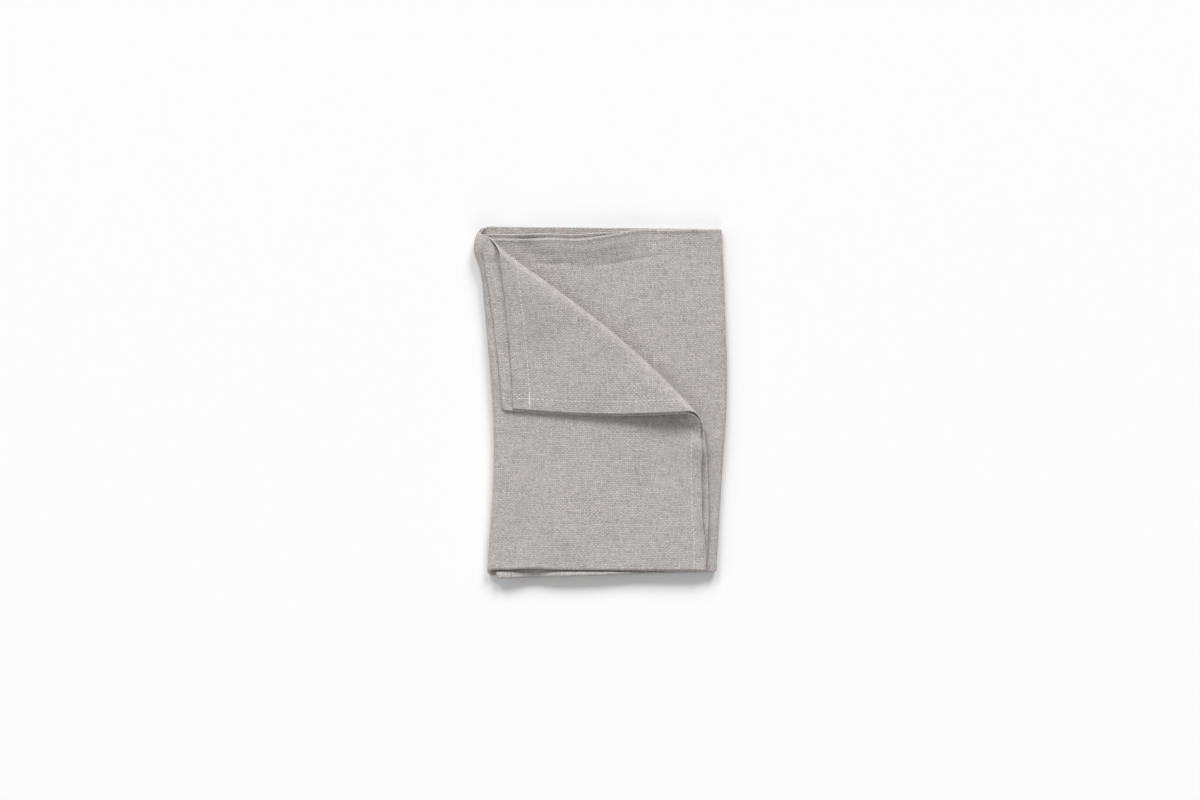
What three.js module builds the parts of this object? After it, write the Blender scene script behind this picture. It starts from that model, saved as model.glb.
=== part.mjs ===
// A hemmed square cloth napkin, folded in half and then in three like a letter, with the upper
// corner of its top panel turned back over a soft diagonal roll. It is one continuous sheet.
// Millimetres, +Z up. The half fold lies along -Y and the loose hems along +Y.
//
// The halved cloth is a ply of two layers. The ply starts at the tucked end of the middle panel,
// turns under at the right fold, runs back as the bottom panel, turns up at the left fold and
// ends as the top panel. Its outer layer lies on the outside of both folds.

import * as THREE from "three";

const { lerp, smoothstep } = THREE.MathUtils;

// Cloth, and the spacing of its layers
const CLOTH_THICK = 1.0;
const LAYER_GAP = 0.4;
const LAYER_PITCH = CLOTH_THICK + LAYER_GAP;
const HALF_PLY = LAYER_PITCH / 2;
const PLY_PITCH = 2 * LAYER_PITCH;
const PLY_REACH = HALF_PLY + CLOTH_THICK / 2;

// The middle of the plan, which goes over the origin
const PLAN_CENTRE = new THREE.Vector3(0.3, -1.7, 0);

// The left and right folds: how far out they lie along Y, and how round they are
const LEFT_FOLD = [
  { y: -115, x: -73.0, radius: 3.0 },
  { y: -95, x: -71.7, radius: 3.0 },
  { y: -60, x: -69.1, radius: 2.9 },
  { y: -32, x: -68.4, radius: 2.9 },
  { y: 0, x: -69.6, radius: 2.9 },
  { y: 32, x: -72.1, radius: 2.9 },
  { y: 62, x: -74.8, radius: 3.0 },
  { y: 83, x: -77.2, radius: 3.2 },
  { y: 97, x: -81.4, radius: 3.6 },
  { y: 105, x: -80.2, radius: 3.6 },
  { y: 112, x: -76.6, radius: 3.4 },
];
const RIGHT_FOLD = [
  { y: -112, x: 75.0, radius: 1.8 },
  { y: -55, x: 78.3, radius: 1.8 },
  { y: 5, x: 81.9, radius: 1.9 },
  { y: 60, x: 80.6, radius: 1.9 },
  { y: 111, x: 78.3, radius: 1.8 },
];
const FOLD_SPREAD = 13;

// Each panel's ends along Y: the edge of its half fold, and its hem or, on the top panel, its roll
const MIDDLE_PANEL = { leftLow: -115.1, rightLow: -110.9, leftHigh: 106.9, rightHigh: 109.6 };
const BOTTOM_PANEL = { leftLow: -113.6, rightLow: -110.5, leftHigh: 111.8, rightHigh: 110.2 };
const TOP_PANEL = { leftLow: -109.3, rightLow: -110.0, leftHigh: 106.0, rightHigh: -27.5 };
const TOP_HEM_X = { ends: 67.8, bow: 1.9 };
const TUCK_CLEARANCE = 0.6;
const MIDDLE_STEP = { from: 0.42, to: 0.68 };

// How far the outer layer's hems have slid behind the inner layer's
const MIDDLE_SLIP = 3.4;
const TOP_SLIP = { most: 4.2, from: 0.05, to: 0.45 };
const ROLL_SLIP = { most: 2.3, from: 0.75, turned: 0.5 };
const FLAP_SLIP = { start: 10.8, corner: 6.8, spread: 30, low: 1.2, turned: 0.2 };
const HEM_SLIP_POWER = 4;

// The roll of the turned-back corner from the left fold to the hem: how far it reaches out, how
// high it lifts the ply, how its line bows, and how far it leans over. Then how much of its length
// the corner's two hems cut off over the turn, how the panel lifts at the hem, and how the corner
// swells behind the roll's edge.
const ROLL = [
  { share: 0, radius: 2.1, rise: 5.6, bow: 0, lean: 0 },
  { share: 0.07, radius: 2.1, rise: 5.8, bow: -1.6, lean: 0 },
  { share: 0.14, radius: 2.4, rise: 5.8, bow: -0.9, lean: 0 },
  { share: 0.25, radius: 2.8, rise: 5.8, bow: 1.6, lean: 0 },
  { share: 0.5, radius: 2.6, rise: 5.4, bow: 7.0, lean: 0 },
  { share: 0.75, radius: 2.8, rise: 7.2, bow: 7.9, lean: 0.3 },
  { share: 1, radius: 4.8, rise: 13.2, bow: 0, lean: 5.0 },
];
const ROLL_BOW_POWER = 4;
const ROLL_CUT = { start: 16.4, end: 22.6, ease: 0.4 };
const CURL = { lift: 2.0, spread: 15 };
const BULGE = { most: 1.5, reach: 13, ends: 0.2 };

// Where the turned corner lies, how its edges bow, and how its outer layer sags at the left hem
const FLAP_TIP = new THREE.Vector2(-55.6, -5.4);
const FLAP_EDGE_BOW = { hem: 1.2, low: -2.4 };
const FLAP_LIFT_FADE = { hem: 1.6, low: 2.4 };
const FLAP_SAG = { share: 0.85, spread: 16, turned: 0.5 };

// Steps of the mesh along the ply, across it, and round its folds
const COLUMNS = { middle: 5, rightFold: 8, bottom: 4, leftFold: 10, top: 14 };
const ROWS = 14;
const ROW_CROWDING = 1.8;
const HAIRPIN_STEPS = 6;
const ROLL_STEPS = 8;

const CLOTH_COLOUR = 0xb5b0ad;
const CLOTH_ROUGHNESS = 0.9;

// Reads one column of a table smoothly along another.
function reader(table, along, column) {
  const spots = table.map((row) => row[along]);
  const values = table.map((row) => row[column]);
  const cubic = new THREE.CubicInterpolant(spots, values, 1);
  return (spot) => cubic.evaluate(spot)[0];
}

const leftEdge = reader(LEFT_FOLD, "y", "x");
const leftRadius = reader(LEFT_FOLD, "y", "radius");
const rightEdge = reader(RIGHT_FOLD, "y", "x");
const rightRadius = reader(RIGHT_FOLD, "y", "radius");
const rollRadius = reader(ROLL, "share", "radius");
const rollRise = reader(ROLL, "share", "rise");
const rollBow = reader(ROLL, "share", "bow");
const rollLean = reader(ROLL, "share", "lean");

const leftCentre = (y) => leftEdge(y) + PLY_REACH + leftRadius(y);
const rightCentre = (y) => rightEdge(y) - PLY_REACH - rightRadius(y);
const bell = (distance, spread) => Math.exp(-((distance / spread) ** 2));

// The roll's straight line, the direction across it, and how far the corner's tip lies from it
const rollStart = new THREE.Vector2(leftCentre(TOP_PANEL.leftHigh), TOP_PANEL.leftHigh);
const rollEnd = new THREE.Vector2(TOP_HEM_X.ends, TOP_PANEL.rightHigh);
const rollLength = rollStart.distanceTo(rollEnd);
const rollAlong = rollEnd.clone().sub(rollStart).normalize();
const rollAcross = new THREE.Vector2(-rollAlong.y, rollAlong.x);
const flapDepth = rollStart.clone().sub(FLAP_TIP).dot(rollAcross);

// Height of the ply's middle in the middle panel: a little fuller beside its fold
function middleHeight(x, y) {
  const beside = Math.exp(-Math.max(rightCentre(y) - x, 0) / FOLD_SPREAD);
  return PLY_REACH + lerp(PLY_PITCH, 2 * rightRadius(y), beside);
}

// The same in the top panel, which lies on the middle one and rises to the left fold and the curl
function topHeight(x, y) {
  const foldX = leftCentre(y);
  const beside = Math.exp(-Math.max(x - foldX, 0) / FOLD_SPREAD);
  const rise = PLY_REACH + 2 * leftRadius(y) - middleHeight(foldX, y) - PLY_PITCH;
  const curl = CURL.lift * bell(Math.hypot(x - rollEnd.x, y - rollEnd.y), CURL.spread);
  return middleHeight(x, y) + PLY_PITCH + rise * beside + curl;
}

// Places along Y at a panel's two ends; row 0 is the middle of the half fold's bend, row 1 the hem
const leftRow = (panel, row) => lerp(panel.leftLow + PLY_REACH, panel.leftHigh, row);
const rightRow = (panel, row) => lerp(panel.rightLow + PLY_REACH, panel.rightHigh, row);

// The ply's middle surface in each zone: share runs along the ply, row up from the half fold
const zones = {
  middle(share, row) {
    const low = lerp(leftRow(MIDDLE_PANEL, 0), rightRow(MIDDLE_PANEL, 0), share);
    const step = smoothstep(share, MIDDLE_STEP.from, MIDDLE_STEP.to);
    const high = lerp(MIDDLE_PANEL.leftHigh, MIDDLE_PANEL.rightHigh, step);
    const y = lerp(low, high, row);
    const x = lerp(leftCentre(y) + TUCK_CLEARANCE, rightCentre(y), share);
    return new THREE.Vector3(x, y, middleHeight(x, y));
  },
  rightFold(share, row) {
    const eased = smoothstep(share, 0, 1);
    const y = lerp(rightRow(MIDDLE_PANEL, row), rightRow(BOTTOM_PANEL, row), eased);
    const radius = rightRadius(y);
    const turn = Math.PI * share;
    const height = PLY_REACH + radius * (1 + Math.cos(turn));
    return new THREE.Vector3(rightCentre(y) + radius * Math.sin(turn), y, height);
  },
  bottom(share, row) {
    const y = lerp(rightRow(BOTTOM_PANEL, row), leftRow(BOTTOM_PANEL, row), share);
    return new THREE.Vector3(lerp(rightCentre(y), leftCentre(y), share), y, PLY_REACH);
  },
  leftFold(share, row) {
    const eased = smoothstep(share, 0, 1);
    const y = lerp(leftRow(BOTTOM_PANEL, row), leftRow(TOP_PANEL, row), eased);
    const radius = leftRadius(y);
    const turn = Math.PI * share;
    const height = PLY_REACH + radius * (1 - Math.cos(turn));
    return new THREE.Vector3(leftCentre(y) - radius * Math.sin(turn), y, height);
  },
  top(share, row) {
    const bow = rollBow(share) * row ** ROLL_BOW_POWER;
    const hemX = TOP_HEM_X.ends + TOP_HEM_X.bow * Math.sin(Math.PI * row);
    const x = lerp(leftCentre(leftRow(TOP_PANEL, row)), hemX, share) + bow * rollAcross.x;
    const y = lerp(leftRow(TOP_PANEL, row), rightRow(TOP_PANEL, row), share) + bow * rollAcross.y;
    return new THREE.Vector3(x, y, topHeight(x, y));
  },
};

// Where the corner's two hems cross the roll at an angle of turn, as shares of the roll's length
function rollEnds(turn) {
  const turned = turn / Math.PI;
  const eased = turned + ROLL_CUT.ease * turned * (1 - turned);
  return [(ROLL_CUT.start * turned) / rollLength, 1 - (ROLL_CUT.end * eased) / rollLength];
}

// How far the corner swells at a distance behind the roll's edge, between its two hems
function rollBulge(inward, side) {
  const ends = smoothstep(side, 0, BULGE.ends) * (1 - smoothstep(side, 1 - BULGE.ends, 1));
  const behind = inward / BULGE.reach;
  return BULGE.most * ends * behind * Math.exp(1 - behind);
}

function rollPoint(turn, side) {
  const share = lerp(...rollEnds(turn), side);
  const foot = rollStart.clone().lerp(rollEnd, share).addScaledVector(rollAcross, rollBow(share));
  const over = (1 - Math.cos(turn)) / 2;
  const inward = turn > Math.PI / 2 ? rollRadius(share) * (1 - Math.sin(turn)) : 0;
  const height = topHeight(foot.x, foot.y) + rollRise(share) * over + rollBulge(inward, side);
  const reach = rollRadius(share) * Math.sin(turn) + rollLean(share) * over;
  const out = foot.addScaledVector(rollAcross, reach);
  return new THREE.Vector3(out.x, out.y, height);
}

// How far the turned corner stands above the panel that it lies on
function flapLift(reach, side) {
  const share = lerp(...rollEnds(Math.PI), side);
  const fade = lerp(FLAP_LIFT_FADE.hem, FLAP_LIFT_FADE.low, side);
  return (rollRise(share) - PLY_PITCH) * (1 - reach) ** fade;
}

// The corner's flat part: reach runs from the roll to the tip, side from one hem to the other
function flapPoint(reach, side) {
  const share = lerp(...rollEnds(Math.PI), side);
  const foot = rollStart.clone().lerp(rollEnd, share).lerp(FLAP_TIP, reach);
  foot.addScaledVector(rollAcross, (rollBow(share) + rollLean(share)) * (1 - reach));
  const arch = Math.sin(Math.PI * reach);
  foot.x += FLAP_EDGE_BOW.hem * arch * (1 - side);
  foot.y += FLAP_EDGE_BOW.low * arch * side;
  const bulge = rollBulge(rollRadius(share) + reach * flapDepth, side);
  const height = topHeight(foot.x, foot.y) + PLY_PITCH + flapLift(reach, side) + bulge;
  return new THREE.Vector3(foot.x, foot.y, height);
}

// The slide of the outer layer over the inner one, in plan
function panelSlip(zone, share, row) {
  const slip = new THREE.Vector3();
  if (zone === "middle") {
    const loose = 1 - smoothstep(share, MIDDLE_STEP.from, MIDDLE_STEP.to);
    slip.y = -MIDDLE_SLIP * loose * row ** 2;
  }
  if (zone === "top") {
    const loose = smoothstep(row, TOP_SLIP.from, TOP_SLIP.to);
    const most = lerp(TOP_SLIP.most, ROLL_SLIP.most, smoothstep(row, ROLL_SLIP.from, 1));
    slip.x = -most * loose * share ** HEM_SLIP_POWER;
  }
  return slip;
}

// The same over the roll and on the corner, where the outer layer also sags at the left hem
function flapSlip(point, reach, side, turned) {
  const [first, last] = rollEnds(Math.PI);
  const late = smoothstep(turned, FLAP_SLIP.turned, 1);
  const fromHem = side * (1 - reach) * (last - first) * rollLength;
  const slide = lerp(FLAP_SLIP.start, FLAP_SLIP.corner, reach) * Math.exp(-fromHem / FLAP_SLIP.spread);
  const loose = 1 - smoothstep(turned, 0, ROLL_SLIP.turned);
  const kept = ROLL_SLIP.most * loose * side ** HEM_SLIP_POWER;
  const slip = new THREE.Vector3(-slide * late - kept, -FLAP_SLIP.low * side * late, 0);
  const follow = topHeight(point.x + slip.x, point.y + slip.y) - topHeight(point.x, point.y);
  const sag = FLAP_SAG.share * flapLift(reach, side) * bell(fromHem, FLAP_SAG.spread);
  slip.z = (follow - sag) * smoothstep(turned, FLAP_SAG.turned, 1);
  return slip;
}

// Evenly spaced shares from 0 to 1
const shares = (steps) => Array.from({ length: steps + 1 }, (_, i) => (steps ? i / steps : 0));

// The ply's middle surface as a mesh of rows and columns, ending in the rows of the turned corner
function buildPly() {
  const points = [];
  const slips = [];
  const triangles = [];
  const add = (point, slip) => {
    slips.push(slip);
    return points.push(point) - 1;
  };

  const rows = shares(ROWS).map((share) => 1 - (1 - share) ** ROW_CROWDING);
  const addCorner = (point, ...place) => add(point, flapSlip(point, ...place));
  const column = (zone, share) =>
    rows.map((row) => add(zones[zone](share, row), panelSlip(zone, share, row)));
  const grid = [];
  for (const [zone, steps] of Object.entries(COLUMNS)) {
    for (const share of shares(steps).slice(0, -1)) grid.push(column(zone, share));
  }
  grid.push(column("top", 1));

  const bands = [grid.slice(-COLUMNS.top - 1).map((line) => line[ROWS])];
  for (const turned of shares(ROLL_STEPS).slice(1)) {
    const band = shares(COLUMNS.top);
    bands.push(band.map((side) => addCorner(rollPoint(Math.PI * turned, side), 0, side, turned)));
  }
  for (let steps = COLUMNS.top - 1; steps >= 0; steps--) {
    const reach = 1 - steps / COLUMNS.top;
    const band = shares(steps);
    bands.push(band.map((side) => addCorner(flapPoint(reach, side), reach, side, 1)));
  }

  const strip = (near, far) => {
    for (let i = 0; i + 1 < near.length; i++) {
      const tapered = far.length < near.length;
      triangles.push([near[i], near[i + 1], far[tapered ? i : i + 1]]);
      if (!tapered) triangles.push([near[i], far[i + 1], far[i]]);
      else if (i + 1 < far.length) triangles.push([near[i + 1], far[i + 1], far[i]]);
    }
  };
  const lines = rows.map((_, j) => grid.map((line) => line[j]));
  for (let j = 0; j < ROWS; j++) strip(lines[j], lines[j + 1]);
  for (let k = 0; k + 1 < bands.length; k++) strip(bands[k], bands[k + 1]);

  const foldLine = lines[0];
  const outward = foldLine.map((i, at) => points[i].clone().sub(points[lines[1][at]]));
  return { points, slips, triangles, foldLine, outward };
}

// Normals of the ply that point to its outer layer
function plyNormals({ points, triangles }) {
  const normals = points.map(() => new THREE.Vector3());
  for (const corners of triangles) {
    const face = new THREE.Triangle(...corners.map((i) => points[i]));
    const normal = face.getNormal(new THREE.Vector3()).multiplyScalar(face.getArea());
    for (const i of corners) normals[i].add(normal);
  }
  return normals.map((normal) => normal.normalize());
}

// The ply's hemmed edges: those of a single triangle, apart from the half-fold line
function hemEdges({ triangles, foldLine }) {
  const onFold = new Set(foldLine);
  const edges = new Map();
  for (const [a, b, c] of triangles) {
    for (const [from, to] of [[a, b], [b, c], [c, a]]) edges.set(`${from} ${to}`, [from, to]);
  }
  const loose = ([from, to]) => !edges.has(`${to} ${from}`) && !(onFold.has(from) && onFold.has(to));
  return [...edges.values()].filter(loose);
}

// The half fold's bend at one distance from the ply's middle, an arc at each column
function hairpin(ply, normals, radius) {
  return ply.foldLine.map((i, at) => {
    const out = ply.outward[at].clone().projectOnPlane(normals[i]).normalize();
    return shares(HAIRPIN_STEPS).map((share) => {
      const turn = Math.PI * share;
      const point = ply.points[i].clone().addScaledVector(normals[i], radius * Math.cos(turn));
      return point.addScaledVector(out, radius * Math.sin(turn));
    });
  });
}

// The closed sheet: an outer and an inner layer with two faces each, their hems, and the half fold
function buildSheet() {
  const ply = buildPly();
  const normals = plyNormals(ply);
  const near = HALF_PLY - CLOTH_THICK / 2;
  const far = HALF_PLY + CLOTH_THICK / 2;
  const face = (offset) =>
    ply.points.map((point, i) => {
      const placed = point.clone().addScaledVector(normals[i], offset);
      return offset > 0 ? placed.add(ply.slips[i]) : placed;
    });
  const layers = [
    { top: face(far), under: face(near) },
    { top: face(-near), under: face(-far) },
  ];

  const corners = [];
  const quad = (a, b, c, d) => corners.push(a, b, c, a, c, d);
  for (const { top, under } of layers) {
    for (const [a, b, c] of ply.triangles) {
      corners.push(top[a], top[b], top[c]);
      corners.push(under[a], under[c], under[b]);
    }
    for (const [a, b] of hemEdges(ply)) quad(top[b], top[a], under[a], under[b]);
  }

  const inside = hairpin(ply, normals, near);
  const outside = hairpin(ply, normals, far);
  const last = ply.foldLine.length - 1;
  for (let k = 0; k < HAIRPIN_STEPS; k++) {
    for (let i = 0; i < last; i++) {
      quad(outside[i][k], outside[i][k + 1], outside[i + 1][k + 1], outside[i + 1][k]);
      quad(inside[i][k], inside[i + 1][k], inside[i + 1][k + 1], inside[i][k + 1]);
    }
    quad(outside[0][k], inside[0][k], inside[0][k + 1], outside[0][k + 1]);
    quad(outside[last][k], outside[last][k + 1], inside[last][k + 1], inside[last][k]);
  }
  const sheet = new THREE.BufferGeometry().setFromPoints(corners.map((p) => p.clone().sub(PLAN_CENTRE)));
  sheet.computeVertexNormals();
  return sheet;
}

const cloth = new THREE.MeshStandardMaterial({ color: CLOTH_COLOUR, roughness: CLOTH_ROUGHNESS });
const napkin = new THREE.Mesh(buildSheet(), cloth);
napkin.name = "napkin";

const part = new THREE.Group();
part.add(napkin);
export default part;
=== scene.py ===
# A hemmed cloth napkin folded in half and then in three, with the upper corner of its top panel
# turned back over a soft diagonal roll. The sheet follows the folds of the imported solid.
# Sizes are in millimetres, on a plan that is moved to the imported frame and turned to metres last.
#
# The halved cloth is a ply of two layers. The ply starts at the tucked end of the middle panel,
# turns under at the right fold, runs back as the bottom panel, turns up at the left fold and
# ends as the top panel. Its outer layer lies on the outside of both folds.

import math

import bpy
import numpy as np
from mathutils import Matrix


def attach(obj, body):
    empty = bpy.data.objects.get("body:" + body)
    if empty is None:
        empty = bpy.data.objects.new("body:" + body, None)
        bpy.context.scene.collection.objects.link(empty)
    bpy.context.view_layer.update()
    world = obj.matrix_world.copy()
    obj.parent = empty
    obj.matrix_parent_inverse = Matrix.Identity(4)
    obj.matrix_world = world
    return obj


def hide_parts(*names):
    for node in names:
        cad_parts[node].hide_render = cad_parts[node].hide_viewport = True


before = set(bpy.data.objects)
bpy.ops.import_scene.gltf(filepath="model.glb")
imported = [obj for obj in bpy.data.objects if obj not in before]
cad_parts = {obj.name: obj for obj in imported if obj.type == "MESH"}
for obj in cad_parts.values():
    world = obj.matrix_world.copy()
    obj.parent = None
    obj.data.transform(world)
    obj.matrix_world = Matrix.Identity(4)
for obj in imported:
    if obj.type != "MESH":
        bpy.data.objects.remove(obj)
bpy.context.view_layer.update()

MM = 0.001
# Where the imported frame's origin lies on the plan
PLAN_CENTRE = np.array([0.3, -1.7, 0.0])

# The ply: height from one to the next, how far from its middle its layers' outer and inner faces
# lie, how much thicker its layers are in the hems, and how round their edges are
PLY_PITCH = 2.8
PLY_REACH = 1.2
FACE_INSIDE = 0.35
HEM_THICKER = 0.2
RIM_ROUND = 0.3

# The left and right folds: place along Y, how far out they lie, and how round they are
LEFT_FOLD = np.array([
    (-115, -73.0, 3.0),
    (-95, -71.7, 3.0),
    (-60, -69.1, 2.9),
    (-32, -68.4, 2.9),
    (0, -69.6, 2.9),
    (32, -72.1, 2.9),
    (62, -74.8, 3.0),
    (83, -77.2, 3.2),
    (97, -81.4, 3.6),
    (105, -80.2, 3.6),
    (112, -76.6, 3.4),
])
RIGHT_FOLD = np.array([
    (-112, 75.0, 1.8),
    (-55, 78.3, 1.8),
    (5, 81.9, 1.9),
    (60, 80.6, 1.9),
    (111, 78.3, 1.8),
])
FOLD_SPREAD = 13

# Each panel's ends along Y at its left and right, its half fold and its hem or roll; the top panel's
# right hem; how clear of the left fold the middle panel ends, and where its hem steps up
MIDDLE_LOW, MIDDLE_HIGH = (-115.1, -110.9), (106.9, 109.6)
BOTTOM_LOW, BOTTOM_HIGH = (-113.6, -110.5), (111.8, 110.2)
TOP_LOW, TOP_HIGH = (-109.3, -110.0), (106.0, -27.5)
TOP_HEM_X, TOP_HEM_BOW = 67.8, 1.9
TUCK_CLEARANCE = 0.6
MIDDLE_STEP = (0.42, 0.68)

# How far the outer layer's hems have slid behind the inner layer's
MIDDLE_SLIP = 3.4
TOP_SLIP, TOP_SLIP_ROWS = 4.2, (0.05, 0.45)
ROLL_SLIP, ROLL_SLIP_ROWS, ROLL_SLIP_TURNED = 2.3, (0.75, 1.0), 0.5
FLAP_SLIP_START, FLAP_SLIP_CORNER, FLAP_SLIP_SPREAD, FLAP_SLIP_LOW = 10.8, 6.8, 30, 1.2
FLAP_SLIP_TURNED = 0.2
HEM_SLIP_POWER = 4

# The roll of the turned-back corner, from the left fold to the hem: share of its length, how far
# it reaches out, how high it lifts the ply, how its line bows, and how far it leans over
ROLL = np.array([
    (0, 2.1, 5.6, 0, 0),
    (0.07, 2.1, 5.8, -1.6, 0),
    (0.14, 2.4, 5.8, -0.9, 0),
    (0.25, 2.8, 5.8, 1.6, 0),
    (0.5, 2.6, 5.4, 7.0, 0),
    (0.75, 2.8, 7.2, 7.9, 0.3),
    (1, 4.8, 13.2, 0, 5.0),
])
# How much the corner's two hems cut off the roll's ends, the swell behind its edge, and its curl
ROLL_CUT_START, ROLL_CUT_END, ROLL_CUT_EASE = 16.4, 22.6, 0.4
ROLL_BOW_POWER = 4
BULGE, BULGE_REACH, BULGE_ENDS = 1.5, 13.0, 0.2
CURL_LIFT, CURL_SPREAD = 2.0, 15
# The corner's tip, how its left hem and its low hem bow, and how fast they sink from the roll
FLAP_TIP = np.array([-55.6, -5.4])
FLAP_BOW_HEM, FLAP_BOW_LOW = 1.2, -2.4
FLAP_FADE_HEM, FLAP_FADE_LOW = 1.6, 2.4

# The corner's layers stand apart at its left hem: the upper one where the roll starts, the lower
# one by the share of its lift that it sags
MOUTH, MOUTH_ALONG, MOUTH_DOWN = 1.6, 16, 24
SAG, SAG_SPREAD = 0.85, 16
APART_TURN = (0.5, 1)

# The cloth laid flat: the ply's length by zone, its height, and the two legs of the turned corner
FLAT_MIDDLE, FLAT_RIGHT, FLAT_BOTTOM, FLAT_LEFT = 146.0, 8.6, 148.0, 12.0
FLAT_HEIGHT = 222.0
FLAP_HEM_SIDE, FLAP_LOW_SIDE = 130.0, 132.6
FLAT_ROLL_START, FLAT_ROLL_END = 20.0, 26.0
FLAT_BEND = 1.1

# Hems: how wide they are at the ply's ends and along its top, and how they wave
SIDE_HEM = 7.0
TOP_HEM = 9.8
HEM_EASE = 0.7
HEM_GROOVE = 0.1
HEM_WAVE, HEM_WAVE_LENGTH = 0.35, 31
# How far the middle panel's hem and the right hems of the top panel's two layers curl up
HEM_LIP, HEM_LIP_AT, HEM_LIP_WIDE = 0.7, 0.5, 1.1
SIDE_LIP_OUTER, SIDE_LIP_INNER, SIDE_LIP_WIDE = 1.3, 1.0, 1.8
SIDE_LIP_START, SIDE_LIP_END = (0.05, 0.2), (0.93, 1.0)
# How the middle panel rises to its hem: how far, along which Y, how clear of the roll, along which X
SWELL, SWELL_ROWS, SWELL_CLEAR, SWELL_FADE = 3.2, (88, 104), (12, 24), (5, 45)

# Soft unevenness of the whole stack: direction in degrees, wave length, phase, share of the height
LOFT_WAVES = np.array([
    (12, 96, 0.4, 0.042),
    (78, 71, 2.1, 0.030),
    (-35, 52, 4.0, 0.022),
    (40, 38, 1.2, 0.018),
    (-70, 27, 3.1, 0.011),
])

# Creases of the middle panel: from x, y to x, y, how they bow, how deep and how wide they are
CREASES = np.array([
    (-50, 90.8, -16, 91.0, 0.5, 0.50, 1.7),
    (-6, 88.9, 13, 89.3, 0.4, 0.42, 1.4),
    (9, 88.7, 40, 93.6, 0.5, 0.55, 1.5),
    (26, 102.0, 44, 101.4, 0.3, 0.30, 1.2),
    (37, 96.5, 52, 89.5, 0.0, 0.35, 3.4),
    (18, 66.0, 62, 68.5, 0.8, 0.25, 4.0),
    (36, 31.0, 70, 29.0, 0.6, 0.22, 4.5),
])
CREASE_SHOULDER, CREASE_SHOULDER_WIDTH = 0.6, 3.0
CREASE_ENDS, CREASE_HALF_WAVES = 0.25, 3

# The strip of the middle panel's half fold that shows: how far it puffs up beyond the top panel's
# edge, where the puff and the hem's lip die away along the panel, and its hollow
STRIP_PUFF, STRIP_RAMP = 2.4, (0.3, 2.8)
MIDDLE_CALM = (0.9, 1)
HOLLOW_X, HOLLOW_WIDTH, HOLLOW_ARCH, HOLLOW_DENT, HOLLOW_REACH = -43, 12, 0.8, 0.9, 8
TUCK_OPEN, TUCK_OPEN_REACH = 2.0, 12

# The dimple beside the left fold, below the roll's start: its middle, its half widths, its depth,
# and where it starts round the fold
DIMPLE_X, DIMPLE_Y, DIMPLE_WIDE, DIMPLE_LONG, DIMPLE_DEEP = -76.2, 91.2, 2.6, 5.0, 0.8
DIMPLE_TURN = (0.4, 0.8)

# Sewing: the thread's radius, stitches and their spacing, how far they rise and sink in thread
# radii, how thin their ends are, and the back-tack by the corner's tip
THREAD, STITCH, STITCH_PITCH = 0.19, 2.35, 3.0
STITCH_RISE, STITCH_SINK, STITCH_TAPER = 1.3, 0.6, 0.5
STITCH_RINGS, STITCH_SIDES = 6, 6
BACK_TACK_FROM, BACK_TACK_LONG, BACK_TACK_STAGGER = 2.6, 9.0, 2
BACK_TACK_ROWS = (-0.28, 0.0, 0.28)

# The weave: yarn spacing and how the yarns wander, slubs, crinkles along both diagonals, blotches,
# and a depth for each noise that sets it apart from the others
YARN, YARN_DRIFT, YARN_DRIFT_LENGTH = 1.2, 5.0, 42.0
SLUB_LENGTH, SLUB_STRIDE, BLOTCH = 8.0, 3.73, 30.0
CRINKLE_LENGTH, CRINKLE_WIDTH, CRINKLE_PATCH = 4.4, 1.35, 9.0
SEED = {
    "warp": 0.0,
    "weft": 7.3,
    "warp_slub": 3.1,
    "weft_slub": 5.7,
    "grain": 11.0,
    "crinkle": 13.0,
    "blotch": 17.0,
    "patch": 23.0,
}

# The weave's relief, and how much each part of the weave changes the relief and the tone, with painted
# shade in the gaps between yarns and painted light and shade on the warp and weft floats
WEAVE_RELIEF = 0.13
SLUB_SWELL = 1.2
RELIEF = {"knot": 0.4, "crinkle": 1.6, "grain": 1.2}
# Painted shade: the tone darkens in the gaps between the yarns' pillows, around its mean
PAINTED_GAP_SHADE, PILLOW_MEAN = 0.24, 0.49
# The warp_over tone is painted light and shade: warp floats lighter and weft floats darker, as the light
# would fall on them
TONE = {"slub": 0.7, "knot": 0.2, "crinkle": 0.24, "grain": 0.3, "blotch": 0.1, "warp_over": 0.1}

# Colours and finishes
CLOTH_COLOUR = (0.42, 0.394, 0.38)
CLOTH_FINISH = {
    "Roughness": 0.9,
    "Specular IOR Level": 0.25,
    "Sheen Weight": 0.15,
    "Sheen Roughness": 0.5,
}
THREAD_COLOUR, THREAD_ROUGHNESS = (0.78, 0.76, 0.73), 0.6
FLOOR_COLOUR, FLOOR_ROUGHNESS = (0.86, 0.86, 0.86), 0.8

# The room, in metres: the floor, the light from all round, and soft suns with their energy, width
# and how far each is tipped towards +Y and +X, in degrees
FLOOR_SIDE = 6.0
ROOM_LIGHT = 0.28
SUNS = {
    "key_left": (1.85, 22, 54, -30),
    "key_right": (2.15, 22, 54, 30),
    "fill": (0.5, 30, 10, -60),
    "front": (0.75, 40, -58, 5),
}

# The camera looks straight down: frame width and height of the cloth in metres, lens and sensor
FRAME_WIDTH, CLOTH_TOP = 0.7716, 0.009
LENS, SENSOR = 85, 36

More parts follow.
